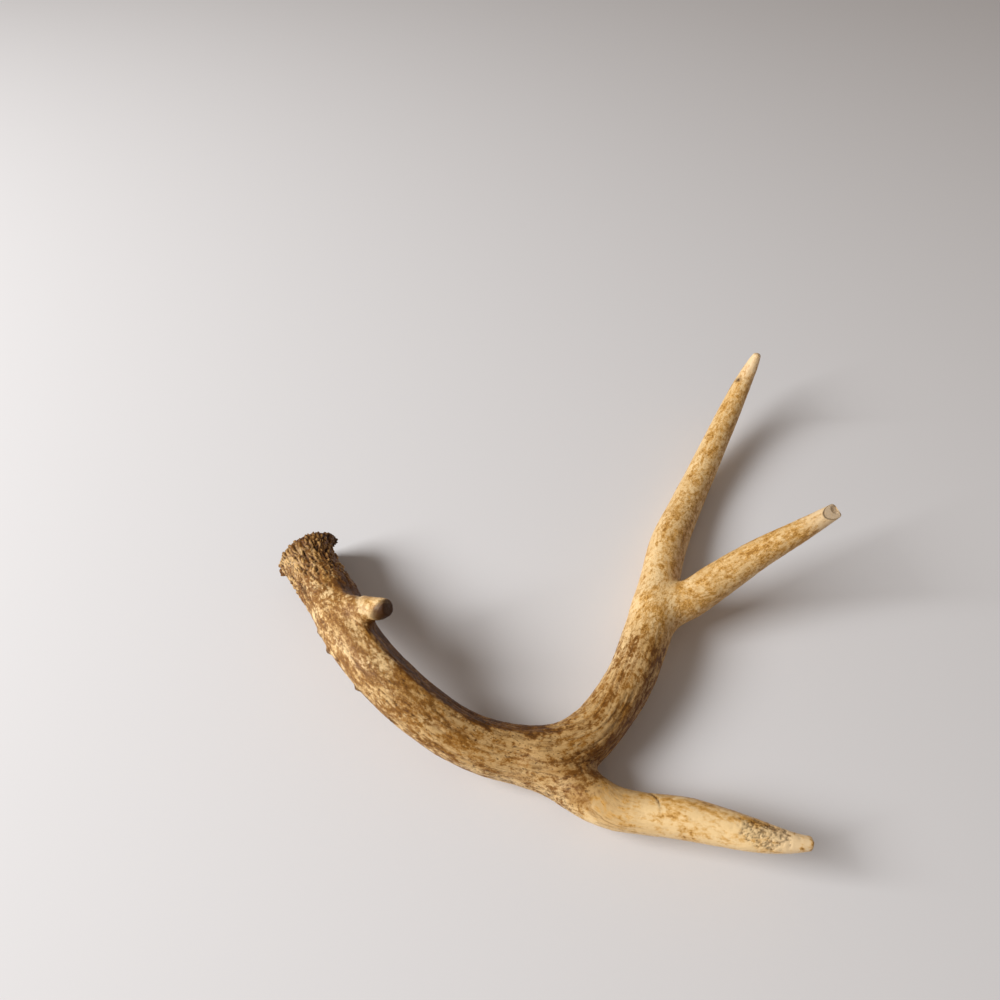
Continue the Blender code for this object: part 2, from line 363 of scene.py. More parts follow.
def nearest_ring(rows):
    """How far each skin point is outside a limb, and at which ring, as a fraction."""
    gap = np.full(len(skin), np.inf)
    ring = np.zeros(len(skin))
    for k in range(len(rows) - 1):
        run = rows[k + 1, :3] - rows[k, :3]
        share = np.clip(((skin - rows[k, :3]) @ run) / (run @ run), 0.0, 1.0)
        off = skin - rows[k, :3] - share[:, None] * run
        radius = rows[k, 3] + share * (rows[k + 1, 3] - rows[k, 3])
        outside = np.sqrt((off * off).sum(axis=1)) - radius
        closer = outside < gap
        gap[closer] = outside[closer]
        ring[closer] = k + share[closer]
    return gap, ring


def at_ring(table, ring):
    """Rows of a table read between two rings."""
    low = np.minimum(ring.astype(int), len(table) - 2)
    share = ring - low
    share = share[:, None] if table.ndim == 2 else share
    return table[low] * (1 - share) + table[low + 1] * share


def line_lengths(rows):
    """Length along a centre line at each ring."""
    steps = np.linalg.norm(np.diff(rows[:, :3], axis=0), axis=1)
    return np.append(0.0, np.cumsum(steps))


beam_lengths = line_lengths(beam)
limb_names = list(lines)
gaps = np.empty((len(lines), len(skin)))
rings = np.empty_like(gaps)
for k, rows in enumerate(lines.values()):
    gaps[k], rings[k] = nearest_ring(rows)
limb_of = gaps.argmin(axis=0)
order = np.sort(gaps, axis=0)
fork_gap = order[1] - order[0]

s_at = np.zeros(len(skin))  # length along the antler from the burr
to_tip = np.zeros(len(skin))  # length left to the limb's tip
centre_at = np.zeros((len(skin), 3))
ahead_at = np.zeros((len(skin), 3))
side_at = np.zeros((len(skin), 3))
for k, (name, rows) in enumerate(lines.items()):
    here = limb_of == k
    ring = rings[k][here]
    lengths = line_lengths(rows)
    root = np.linalg.norm(beam[:, :3] - rows[0, :3], axis=1).argmin()
    ahead, sides, _ = travelling_frame(rows)
    s_at[here] = at_ring(lengths, ring) + (beam_lengths[root] if name != "beam" else 0.0)
    to_tip[here] = lengths[-1] - at_ring(lengths, ring)
    centre_at[here] = at_ring(rows[:, :3], ring)
    ahead_at[here] = unit(at_ring(ahead, ring))
    side_at[here] = unit(at_ring(sides, ring))
    print(f"{name:12} {here.sum():7} points, {to_tip[here].max():.0f} mm long")

# The address is evened out over the skin, so that it has no steps between rings.
even = rounds_for(2.0)
s_at, centre_at = softened(s_at, even), softened(centre_at, even)
ahead_at, side_at = unit(softened(ahead_at, even)), unit(softened(side_at, even))

off_line = skin - centre_at
over_at = np.cross(ahead_at, side_at)
grain = np.stack([s_at, (off_line * side_at).sum(axis=1),
                  (off_line * over_at).sum(axis=1)], axis=1)

# Which way a point faces: up, or towards the hollow side of the beam's bow.
facing = unit(off_line - (off_line * ahead_at).sum(axis=1)[:, None] * ahead_at)
inward = unit(np.cross((0.0, 0.0, 1.0), ahead_at))
up_at = facing[:, 2]
in_at = (facing * inward).sum(axis=1)
turn_at = np.degrees(np.arctan2(up_at, in_at))  # 0 hollow side, 90 up, 180 outer side


def share_of(limb):
    """1 on a limb and 0 off it, with a soft border."""
    return softened((limb_of == limb_names.index(limb)).astype(float), rounds_for(3.5))


on_beam, on_brow, on_second, on_third = (share_of(limb) for limb in limb_names)
print("share of the beam:", round(float(on_beam.mean()), 2))

# %% [markdown]
# ## Noise for the shape
# Three kinds of noise are enough.  *Hills* are smooth and random.  *Beads* come from
# scattered points: the difference between the second nearest and the nearest point is
# large in the middle of a cell and zero on its border, which makes domes with crevices
# between them.  Both are worked out from whole-number hashes, so every run is the same.

# %% Noise helpers
def lottery(cells, seed):
    """A repeatable number from 0 to 1 for each whole-numbered cell."""
    x, y, z = (cells[:, k].astype(np.int64) for k in range(3))
    mixed = (x * 73856093) ^ (y * 19349663) ^ (z * 83492791) ^ (seed * 40503)
    mixed = ((mixed ^ (mixed >> 13)) * 1274126177) & 0x7FFFFFFFFFFF
    mixed = ((mixed ^ (mixed >> 16)) * 668265263) & 0x7FFFFFFFFFFF
    return ((mixed >> 7) & 0xFFFFF) / 0xFFFFF


def hills(places, seed):
    """Smooth random heights from -1 to 1, with hills about one unit wide."""
    base = np.floor(places)
    share = places - base
    share = share * share * (3 - 2 * share)
    total = np.zeros(len(places))
    for corner in itertools.product((0, 1), repeat=3):
        weight = np.where(corner, share, 1 - share).prod(axis=1)
        total += weight * lottery(base + corner, seed)
    return 2 * total - 1


def layered_hills(places, seed, layers=3):
    """Hills with smaller hills on them."""
    total = np.zeros(len(places))
    for layer in range(layers):
        total += hills(places * 2 ** layer + 17.3 * layer, seed + layer) / 2 ** layer
    return total / 1.5


def beads(places, seed):
    """Dome height from 0 at a bead's border, and one random number for each bead."""
    base = np.floor(places)
    nearest = np.full(len(places), np.inf)
    second = np.full(len(places), np.inf)
    luck = np.zeros(len(places))
    for offset in itertools.product((-1, 0, 1), repeat=3):
        cell = base + offset
        point = cell + np.stack([lottery(cell, seed + k) for k in (1, 2, 3)], axis=1)
        gap = np.sqrt(((places - point) ** 2).sum(axis=1))
        closer = gap < nearest
        second = np.where(closer, nearest, np.minimum(second, gap))
        nearest = np.where(closer, gap, nearest)
        luck = np.where(closer, lottery(cell, seed + 4), luck)
    return second - nearest, luck


def ramp(values, low, high):
    """Rises smoothly from 0 at low to 1 at high; low may be the larger."""
    share = np.clip((values - low) / (high - low), 0.0, 1.0)
    return share * share * (3 - 2 * share)


def between(values, start, full, fade, end):
    """1 from full to fade, falling smoothly to 0 at start and end."""
    return ramp(values, start, full) * ramp(values, end, fade)


print("hills on the skin:", np.round(hills(skin / 9.0, 1)[:4], 2))

# %% [markdown]
# ## Zones
# The surface of an antler changes along its length.  Near the burr it's crowded with
# pearls, down the beam it's mottled and then streaked by the vessels that fed the growing
# bone, and the tips are rubbed smooth.  Each zone is a weight from 0 to 1 at every point.

# %% Weigh the zones
wander = 8.0 * layered_hills(skin / 14.0, 5)  # zone borders are ragged, in mm
s_ragged = s_at + wander
pearl = np.clip((on_beam + 0.3 * on_brow) * ramp(s_ragged, 70, 36), 0, 1)
groove_zone = on_beam * between(s_ragged, 20, 60, 250, 330) + (1 - on_beam) * 0.15
fork = ramp(fork_gap, 9.0, 2.0)
smooth_tip = ramp(to_tip, 24, 7) * (1 - on_brow)
print(f"pearled share of the skin: {pearl.mean():.3f}")

# %% [markdown]
# ## Relief
# All relief is one height for each point, in millimetres along the skin's normal.  The
# beads are longer along the limb than across it.  Furrows are the places where a stretched
# noise passes through zero, which gives long lines that open and close.

# %% Model the relief
def spread(values, wide):
    """A bell that is 1 at 0 and has faded at about twice its width."""
    return np.exp(-(values / wide) ** 2)


relief = 0.28 * layered_hills(skin / 16.0, 11)

# A rounded ridge on top of the lower beam, with a flatter face on its hollow side.
ridged = on_beam * between(s_at, 50, 72, 150, 215)
relief += 0.8 * ridged * spread(turn_at - 74, 14) - 1.5 * ridged * spread(turn_at - 38, 24)

bead_places = grain / np.array([4.8, 1.9, 1.9])
bead_places += 0.35 * np.stack([hills(grain / 3.0, seed) for seed in (21, 22, 23)], axis=1)
in_pearls = pearl > 0.01
dome, luck = np.zeros(len(skin)), np.zeros(len(skin))
dome[in_pearls], luck[in_pearls] = beads(bead_places[in_pearls], 31)
bead_height = ramp(dome, 0.0, 0.5) * (0.4 + 0.8 * luck)
pit_noise = layered_hills(grain / np.array([4.2, 1.8, 1.8]), 33, 2)
bead_pit = ramp(pit_noise, -0.10, -0.45)
relief += pearl * (1.25 * bead_height - 0.55 - 0.7 * bead_pit)

furrow_noise = layered_hills(grain * np.array([0.018, 0.26, 0.26]), 41)
furrow = ramp(np.abs(furrow_noise), 0.16, 0.0) * groove_zone * (1 - fork)
relief -= 0.32 * furrow
fine_noise = layered_hills(grain * np.array([0.05, 0.62, 0.62]), 47)
fine_furrow = ramp(np.abs(fine_noise), 0.2, 0.0) * np.clip(groove_zone + 0.2, 0, 1)
relief -= 0.12 * fine_furrow * (1 - fork)

# The one deep furrow, along the hollow side of the bow.
bow_turn = 41 + 6 * hills(np.stack([s_at / 25, s_at * 0, s_at * 0], axis=1), 51)
bow_furrow = spread((turn_at - bow_turn) * 13 * math.pi / 180, 1.1)
bow_furrow *= on_beam * between(s_at, 128, 150, 205, 232)
relief -= 0.55 * bow_furrow

# Wormy relief on the mottled stretches.
worm_noise = layered_hills(grain / np.array([3.6, 1.9, 1.9]), 61, 2)
worm_line = ramp(np.abs(worm_noise), 0.17, 0.0)
relief -= 0.10 * worm_line * ramp(s_at, 40, 70) * (1 - smooth_tip)
print(f"relief from {relief.min():.2f} to {relief.max():.2f} mm")

# %% [markdown]
# ## The burr's teeth
# The burr is the flared ring that the antler grew from.  Its rim is cut into fine teeth
# that point outwards, with deep gaps between them.  A wave round the limb makes them, and
# noise keeps any two from being alike.

# %% Cut the teeth of the burr
TEETH = 54

round_burr = np.arctan2(grain[:, 2], grain[:, 1])
stand_off = np.hypot(grain[:, 1], grain[:, 2])
rim = on_beam * ramp(stand_off, 16.2, 18.4) * ramp(s_at, 22, 12)
uneven = hills(np.stack([round_burr * 5, s_at * 0.12, s_at * 0], axis=1), 71)
tooth = np.abs(np.sin(round_burr * TEETH / 2 + 1.3 * uneven)) ** 0.6
tooth_size = 0.75 + 0.45 * hills(np.stack([round_burr * 9, s_at * 0, s_at * 0], axis=1), 73)
relief += rim * (1.6 * tooth * tooth_size - 1.1 + 0.5 * uneven)
print(f"the rim holds {rim.sum():.0f} points, {TEETH} teeth")

# %% [markdown]
# ## Damage and wear
# A found antler is not whole.  Splinters stand up on the outer edge, rodents have gnawed
# the second tine, a flake has lifted from the burr and small chips are missing.  Each mark
# is a dent or a lump round one place on the skin, found by its length along the limb and
# its turn around it.

# %% Add chips, splinters and tooth marks
def spot(lengths, length, turn, limb):
    """Index of the skin point at a length along a limb and a turn around it."""
    off_turn = np.abs((turn_at - turn + 180) % 360 - 180)
    miss = np.abs(lengths - length) + off_turn * 0.15
    miss[limb_of != limb_names.index(limb)] = np.inf
    return int(miss.argmin())


def near_spot(index, long, wide):
    """A bell round one skin point, longer along the grain than across it."""
    off = skin - skin[index]
    down = off @ ahead_at[index]
    across = np.sqrt(np.maximum((off * off).sum(axis=1) - down ** 2, 0))
    return spread(down, long) * spread(across, wide)


damage = np.zeros(len(skin))  # dark, raw surface
splinters = ((88, 182, 2.6, 0.8, 1.8), (112, 184, 2.4, 0.7, 1.7), (78, 176, 2.0, 0.7, 1.0),
             (97, 172, 1.8, 0.7, 0.8), (133, 178, 2.0, 0.7, 0.7), (70, 194, 2.4, 0.8, 1.2))
for length, turn, long, wide, high in splinters:
    bump = near_spot(spot(s_at, length, turn, "beam"), long, wide)
    relief += high * bump
    damage = np.maximum(damage, 0.8 * ramp(bump, 0.15, 0.6))

flake = near_spot(spot(s_at, 12, 186, "beam"), 2.6, 3.4)
relief += 2.2 * flake
relief -= 1.6 * near_spot(spot(s_at, 8, 176, "beam"), 1.6, 3.0)
relief -= 1.2 * near_spot(spot(s_at, 4, 236, "beam"), 3.0, 2.2)

# Tooth marks near the tip of the second tine.
gnaw_zone = near_spot(spot(to_tip, 18, 95, "second_tine"), 11.0, 6.0)
gnaw_zone = ramp(gnaw_zone + 0.25 * hills(skin / 1.7, 81), 0.28, 0.5) * on_second
gnaw_dome, gnaw_luck = beads(skin / np.array([1.7, 1.5, 1.5]), 83)
gnaw_pit = ramp(gnaw_dome, 0.42, 0.05) * ramp(gnaw_luck, 0.15, 0.5)
relief -= gnaw_zone * (0.15 + 0.4 * gnaw_pit)

# A short curved crack across the second tine.
crack_start = skin[spot(to_tip, 66, 60, "second_tine")]
crack_off = skin - crack_start
crack_curve = crack_off[:, 0] + 0.045 * (crack_off[:, 1] + 4) ** 2 - 0.8
crack = spread(crack_curve, 0.5) * spread(crack_off[:, 1], 4.5) * on_second * (up_at > 0)
relief -= 0.35 * crack

# A notch on the left of the beam's tip, and pits by the upper fork.
notch = near_spot(spot(to_tip, 19, 40, "beam"), 1.7, 2.2)
relief -= 0.8 * notch
pits_zone = near_spot(spot(s_at, 300, 100, "beam"), 16, 8) + near_spot(
    spot(s_at, 335, 90, "beam"), 10, 5)
pit_dome, pit_luck = beads(skin / 1.9, 91)
pits = ramp(pit_dome, 0.55, 0.85) * ramp(pit_luck, 0.45, 0.7) * np.clip(pits_zone, 0, 1)
relief -= 0.3 * pits
damage = np.maximum(damage, 0.55 * gnaw_zone * gnaw_pit)
damage = np.maximum(damage, np.maximum(0.85 * crack, np.maximum(notch, pits)))
print(f"relief with damage from {relief.min():.2f} to {relief.max():.2f} mm")

# %% [markdown]
# ## Moving the skin
# The height is added along each point's normal.  A normal is the sum of the crossed
# diagonals of the faces round the point.  The broken end of the third tine is made last: a
# sloping plane cuts the tip, and a shallow bowl in it stands for the porous core.

# %% Move the points
def skin_normals():
    """The direction that the skin faces at each point."""
    a, b, c, d = (skin[quads[:, k]] for k in range(4))
    crossed = np.cross(c - a, d - b)
    total = np.zeros_like(skin)
    for k in range(3):
        for corner in range(4):
            total[:, k] += np.bincount(quads[:, corner], crossed[:, k], len(skin))
    return unit(total)


relief_soft = softened(relief, int(3.2 / CELL))
skin = skin + relief[:, None] * skin_normals()

third = lines["third_tine"]
third_ahead = unit(third[-1, :3] - third[-3, :3])
break_facing = unit(0.52 * third_ahead + 0.85 * unit(np.array([-0.30, -0.50, 0.80])))
break_centre = third[-1, :3] - 0.2 * third_ahead + 1.2 * np.array([0.0, 0.0, 1.0])
past = np.clip((skin - break_centre) @ break_facing + 0.4, 0, None) * on_third
past *= to_tip < 12
skin = skin - 0.95 * past[:, None] * break_facing
from_middle = np.linalg.norm(skin - break_centre, axis=1)
bowl = ramp(from_middle, 3.2, 1.2) * (past > 0)
skin = skin - 0.9 * bowl[:, None] * break_facing
broken = ramp(past, 0.0, 0.9)
break_rim = 4 * broken * (1 - broken)

skin[:, 2] = np.maximum(skin[:, 2], 0.0)
# The crevice note is painted shade in the recesses of the relief.
shaded_crevice = ramp(relief_soft - relief, 0.02, 0.30)
tops = ramp(relief - relief_soft, 0.02, 0.25)
normals = skin_normals()
print("finished skin spans", np.round(np.ptp(skin, axis=0), 1), "mm")

# %% [markdown]
# ## Notes for the shader
# The shader can't know where the burr or a fork is, so the mesh carries notes for it: a
# number at every point for each thing that the colour depends on.  They are stored as
# attributes, which the Attribute node reads by name.

# %% Write down what the shader needs
lower = on_beam * ramp(s_ragged, 228, 200)
upper = on_beam * between(s_ragged, 200, 228, 275, 310)
end = on_beam * ramp(s_ragged, 275, 310)
ragged_in = in_at + 0.25 * layered_hills(skin / 7.0, 101)

# Brown is stain, plus painted shade on the sides turned from the light (hollow lower beam, outer
# upper beam, inner burr).
brown_and_shade = lower * ramp(ragged_in, 0.10, 0.42) + 0.7 * upper * ramp(-ragged_in, 0.2, 0.65)
brown_and_shade += 0.6 * upper * spread(turn_at - 66 + 1.5 * wander, 10)
brown_and_shade += 0.2 * lower * between(s_ragged, 120, 165, 205, 240)
brown_and_shade += pearl * ramp(s_at, 52, 10) * (0.5 + 0.5 * ramp(ragged_in, -0.7, 0.3))
amber = lower * between(s_ragged, 22, 50, 150, 200) + 0.55 * upper
# The end gets less amber on its inward side, which faces the light: a painted highlight.
amber += end * (0.8 - 0.5 * ramp(ragged_in, 0.25, 0.8)) + 0.8 * on_third + 0.6 * on_brow
# The second tine's far side, turned from the light, gets more amber as painted shade.
shaded_far_side = ramp(facing[:, 1] + 0.2 * layered_hills(skin / 8.0, 103), -0.1, 0.7)
amber += on_second * between(to_tip, 4, 16, 66, 80) * (0.1 + 1.2 * shaded_far_side)
clean = on_second * ramp(to_tip + 1.3 * wander, 92, 52)
root = np.clip(on_beam + on_second - clean, 0, 1)
tan = root * between(s_ragged, 120, 165, 240, 285) * ramp(up_at, 0.0, 0.7)
# Pale is clean, rubbed bone, plus a painted highlight on the lit sides: the lower beam's outer side,
# the upper beam's inward side.
pale_and_lit = clean + 0.7 * end + 0.6 * on_third + 0.5 * on_brow + 0.6 * (on_second - clean)
pale_and_lit += 0.6 * lower * ramp(-ragged_in, 0.3, 0.9) + 0.6 * upper * ramp(ragged_in, -0.2, 0.3)
wormy = ramp(s_ragged, 30, 60) * (1 - 0.75 * tan) * (1 - 0.9 * clean)
wormy += gnaw_zone
streaky = root * between(s_ragged, 100, 150, 265, 300)
blunt = on_brow * ramp(to_tip + wander * 0.2, 6.0, 2.5)
pores = root * between(s_ragged, 90, 130, 215, 250)
golden = end + on_third + 0.7 * on_brow + on_second
# Dark round the burr: dirt, and more of it on the hollow side as painted shade.
rim_dirt_and_shade = on_beam * ramp(s_at + 0.4 * wander, 24, 8) * (0.5 + 0.5 * ramp(ragged_in, -0.9, 0))

notes = {
    "pearl": pearl,
    "shaded_crevice": np.maximum(np.maximum(shaded_crevice, 0.8 * bead_pit * pearl),
                          0.9 * rim * ramp(tooth, 0.8, 0.4)),
    "tops": tops,
    "furrow": np.maximum(np.maximum(furrow * 0.5, fine_furrow * 0.2), bow_furrow),
    "fork": fork,
    "tip": smooth_tip,
    "brown_and_shade": brown_and_shade,
    "amber": amber,
    "tan": tan,
    "pale_and_lit": pale_and_lit,
    "wormy": wormy,
    "streaky": streaky,
    "pores": pores,
    "golden": golden,
    "rim_dirt_and_shade": rim_dirt_and_shade,
    "damage": np.maximum(np.maximum(damage, blunt), 0.8 * break_rim),
    "broken": broken,
}
notes = {name: np.clip(values, 0, 1).astype(np.float32) for name, values in notes.items()}
print("notes:", ", ".join(notes))

# %% [markdown]
# ## Back to six limbs
# The finished skin is sawn along the planes found at the start, so that each limb can
# stand for its own solid.  A bisect cuts the faces that it crosses, splitting the new edges
# frees the limb, and the two openings are closed with flat faces.  The normals were noted
# before sawing, and are given back after it, so that no seam shows where two limbs meet.

# %% Saw the skin into limbs
def noted_skin():
    """The finished skin as a bmesh, with all notes."""
    thing = new_mesh("skin", skin, quads)
    for name, values in notes.items():
        layer = thing.data.attributes.new(name, "FLOAT", "POINT")
        layer.data.foreach_set("value", values)
    for name, rows in (("grain", grain), ("lean", normals)):
        layer = thing.data.attributes.new(name, "FLOAT_VECTOR", "POINT")
        layer.data.foreach_set("vector", rows.astype(np.float32).ravel())
    body = bmesh.new()
    body.from_mesh(thing.data)
    bpy.data.objects.remove(thing)
    return body


def saw(body, centre, normal, reach):
    """Cuts a limb off and closes both sides."""
    middle, far = Vector(centre * MM), (reach + 4.0) * MM
    crossed = []
    for face in body.faces:
        if (face.verts[0].co - middle).length < far:
            crossed.append(face)
    parts = set(crossed)
    for face in crossed:
        parts.update(face.verts)
        parts.update(face.edges)
    cut = bmesh.ops.bisect_plane(
        body, geom=list(parts), dist=1e-7, plane_co=middle, plane_no=Vector(normal))
    rim_edges = [part for part in cut["geom_cut"] if isinstance(part, bmesh.types.BMEdge)]
    split = bmesh.ops.split_edges(body, edges=rim_edges)
    open_edges = [edge for edge in split["edges"] if edge.is_boundary]
    closed = bmesh.ops.holes_fill(body, edges=open_edges, sides=0)
    bmesh.ops.triangulate(body, faces=closed["faces"])
    return len(rim_edges)


antler = noted_skin()
for limb, (centre, normal, reach, _, _) in cuts.items():
    print(f"{limb:12} cut through {saw(antler, centre, normal, reach)} edges")

# %% [markdown]
# Each loose part of the sawn skin is found by walking from face to face.  The solid whose
# corners lie nearest to it names it.  The new mesh replaces that solid in the picture,
# while the solid stays in the frame for the physics.

# %% Make one piece for each limb
def loose_parts(body):
    """Lists of faces that hang together."""
    body.faces.ensure_lookup_table()
    seen = np.zeros(len(body.faces), dtype=bool)
    body.faces.index_update()
    for face in body.faces:
        if seen[face.index]:
            continue
        seen[face.index] = True
        part, queue = [], [face]
        while queue:
            here = queue.pop()
            part.append(here)
            for edge in here.edges:
                for other in edge.link_faces:
                    if not seen[other.index]:
                        seen[other.index] = True
                        queue.append(other)
        yield part


finder = kdtree.KDTree(len(spots))
owner = []
for name, (corners, _) in solids.items():
    for corner in corners:
        finder.insert(corner, len(owner))
        owner.append(name)
finder.balance()


def limb_name(part):
    """The solid that most of a part's faces are nearest to."""
    step = max(1, len(part) // 60)
    near = [owner[finder.find(face.verts[0].co / MM)[1]] for face in part[::step]]
    return max(set(near), key=near.count)


def piece_from(part, name):
    """One limb as a mesh, carrying the notes and the whole skin's normals as attributes."""
    keep = bmesh.new()
    twins = {}
    layers = []
    for kind in ("float", "float_vector"):
        old, new = getattr(antler.verts.layers, kind), getattr(keep.verts.layers, kind)
        for key in old.keys():
            new.new(key)
        layers += [(old[key], new[key]) for key in old.keys()]
    for face in part:
        for corner in face.verts:
            if corner not in twins:
                twin = keep.verts.new(corner.co)
                for old, new in layers:
                    twin[new] = corner[old]
                twins[corner] = twin
    for face in part:
        keep.faces.new([twins[corner] for corner in face.verts])
    mesh = bpy.data.meshes.new(name)
    keep.to_mesh(mesh)
    keep.free()
    return mesh


def lean_normals(mesh, centre_planes):
    """Sets the noted normals, except on the flat faces inside a cut."""
    count = len(mesh.loops)
    corner_of = np.empty(count, dtype=np.int32)
    mesh.loops.foreach_get("vertex_index", corner_of)
    lean = np.empty(len(mesh.vertices) * 3, dtype=np.float32)
    mesh.attributes["lean"].data.foreach_get("vector", lean)
    by_loop = unit(lean.reshape(-1, 3))[corner_of]
    facing = np.empty(len(mesh.polygons) * 3, dtype=np.float32)
    mesh.polygons.foreach_get("normal", facing)
    facing = facing.reshape(-1, 3)
    middle = np.empty(len(mesh.polygons) * 3, dtype=np.float32)
    mesh.polygons.foreach_get("center", middle)
    middle = middle.reshape(-1, 3) / MM
    inside = np.zeros(len(mesh.polygons), dtype=bool)
    for centre, normal, reach, _, _ in centre_planes:
        on_plane = np.abs((middle - centre) @ normal) < 0.02
        close = np.linalg.norm(middle - centre, axis=1) < reach + 4
        inside |= on_plane & close & (np.abs(facing @ normal) > 0.999)
    sizes = np.empty(len(mesh.polygons), dtype=np.int32)
    mesh.polygons.foreach_get("loop_total", sizes)
    flat = np.repeat(inside, sizes)
    by_loop[flat] = np.repeat(facing, sizes, axis=0)[flat]
    mesh.shade_smooth()
    mesh.normals_split_custom_set(by_loop)
    mesh.attributes.remove(mesh.attributes["lean"])
    return int(inside.sum())


pieces = {}
for part in list(loose_parts(antler)):
    limb = limb_name(part)
    name = limb + "_bone"
    mesh = piece_from(part, name)
    capped = lean_normals(mesh, [cut[:3] + (None, None) for cut in cuts.values()])
    piece = bpy.data.objects.new(name, mesh)
    bpy.context.scene.collection.objects.link(piece)
    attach(piece, "root")
    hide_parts(limb)
    pieces[limb] = piece
    triangles = sum(len(face.vertices) - 2 for face in mesh.polygons)
    print(f"{name:18} {triangles:7} triangles, {capped} of them inside a cut")
antler.free()

# %% [markdown]
# ## The bone material
# One material dresses all six limbs.  It starts from honey and cream, and lays one thing
# over another: amber blotches, winding lines, dark streaks along the grain, dots where
# vessels entered, painted shade in every crevice and on the sides turned from the light, a
# painted highlight on the lit sides, and at last the rubbed tips.  Each layer is noise times
# a note from the mesh.

# %% Helpers for shader nodes
bone = bpy.data.materials.new("weathered_bone")
bone.use_nodes = True
tree = bone.node_tree
shader = tree.nodes["Principled BSDF"]


def feed(socket, value):
    """Links a socket to another's output, or sets its own value."""
    if isinstance(value, bpy.types.NodeSocket):
        tree.links.new(value, socket)
    else:
        socket.default_value = value


def note(name):
    """A number that the mesh carries."""
    node = tree.nodes.new("ShaderNodeAttribute")
    node.attribute_name = name
    return node.outputs["Fac"]


def calc(operation, a, b=0.0, c=0.0):
    """A sum on one or more numbers."""
    node = tree.nodes.new("ShaderNodeMath")
    node.operation = operation
    for socket, value in zip(node.inputs, (a, b, c)):
        feed(socket, value)
    return node.outputs[0]


def product(*values):
    """Several numbers multiplied, kept between 0 and 1."""
    total = values[0]
    for value in values[1:]:
        total = calc("MULTIPLY", total, value)
    total.node.use_clamp = True
    return total


def rise(value, low, high, bottom=0.0, top=1.0):
    """Rises smoothly while a value goes from low to high."""
    node = tree.nodes.new("ShaderNodeMapRange")
    node.interpolation_type = "SMOOTHSTEP"
    for socket, given in zip(node.inputs, (value, low, high, bottom, top)):
        feed(socket, given)
    return node.outputs[0]


def stretched(vector, sizes):
    """A place vector divided by a mark's size in each direction."""
    node = tree.nodes.new("ShaderNodeMapping")
    feed(node.inputs["Vector"], vector)
    node.inputs["Scale"].default_value = [1 / size for size in sizes]
    return node.outputs[0]


def clouds(vector, detail=3.0, roughness=0.55, distortion=0.0):
    """Fractal noise from 0 to 1."""
    node = tree.nodes.new("ShaderNodeTexNoise")
    feed(node.inputs["Vector"], vector)
    node.inputs["Scale"].default_value = 1.0
    node.inputs["Detail"].default_value = detail
    node.inputs["Roughness"].default_value = roughness
    node.inputs["Distortion"].default_value = distortion
    return node.outputs["Fac"]


def blend_numbers(amount, a, b):
    """a where amount is 0 and b where it is 1."""
    node = tree.nodes.new("ShaderNodeMix")
    feed(node.inputs[0], amount)
    feed(node.inputs[2], a)
    feed(node.inputs[3], b)
    return node.outputs[0]


def lay(amount, under, over):
    """One colour laid over another."""
    node = tree.nodes.new("ShaderNodeMix")
    node.data_type = "RGBA"
    feed(node.inputs[0], amount)
    feed(node.inputs[6], under)
    feed(node.inputs[7], over)
    return node.outputs[2]


grain_node = tree.nodes.new("ShaderNodeAttribute")
grain_node.attribute_name = "grain"
grain_place = grain_node.outputs["Vector"]
solid_place = tree.nodes.new("ShaderNodeTexCoord").outputs["Object"]
at_fork = note("fork")


def limb_clouds(long, wide, **options):
    """Noise that follows the grain, and is even-sided where limbs meet."""
    flowing = clouds(stretched(grain_place, (long, wide, wide)), **options)
    size = math.sqrt(long * wide) * MM
    still = clouds(stretched(solid_place, (size, size, size)), **options)
    return blend_numbers(at_fork, flowing, still)


# %% [markdown]
# The colours are those of sun-dried bone: cream where it's clean, honey where skin oil and
# weather have soaked in, and amber and umber where tannin has stained it.  Umber, russet and
# near-black are also painted shade on the sides turned from the light and in the deep
# crevices by the burr, and cream is a painted highlight on the lit sides.

# %% Mix the colour
CREAM = (0.93, 0.66, 0.33, 1)
HONEY = (0.66, 0.385, 0.125, 1)
GOLD = (0.72, 0.38, 0.085, 1)
AMBER = (0.36, 0.150, 0.012, 1)
RUSSET = (0.185, 0.066, 0.005, 1)
UMBER = (0.070, 0.024, 0.003, 1)
SHADE_BLACK = (0.026, 0.009, 0.002, 1)
TAN = (0.56, 0.345, 0.135, 1)
IVORY = (0.90, 0.66, 0.38, 1)
CORE = (0.78, 0.60, 0.40, 1)

broad = limb_clouds(18, 8, detail=2.0)
blotch = limb_clouds(9, 5, detail=3.0)
mottle = limb_clouds(3.0, 1.9, detail=6.0, roughness=0.72)
worm = limb_clouds(2.1, 1.5, detail=2.0, distortion=1.6)
thread = limb_clouds(11, 1.1, detail=4.0, roughness=0.65)
stripe = limb_clouds(45, 4.6, detail=4.0)
speck = limb_clouds(1.1, 0.8, detail=3.0, roughness=0.65)
vessel = limb_clouds(2.0, 1.1, detail=2.0)

# Stains settle where the fine and the broad noise agree, and more of them in amber zones.
# The dark ones also gather where the brown note holds painted shade.
stain = calc("ADD", calc("MULTIPLY", mottle, 0.62), calc("MULTIPLY", blotch, 0.38))
amber_stain = calc("MULTIPLY_ADD", note("amber"), 0.075, stain)
stain_and_shade = calc("MULTIPLY_ADD", note("brown_and_shade"), 0.24, stain)
winding = rise(calc("ABSOLUTE", calc("SUBTRACT", worm, 0.5)), 0.07, 0.01)
broken_up = rise(mottle, 0.36, 0.58)
shaded_crevices = note("shaded_crevice")
stain_colour = lay(note("golden"), AMBER, GOLD)
line_colour = lay(note("golden"), RUSSET, AMBER)

colour = lay(rise(broad, 0.34, 0.64), HONEY, CREAM)
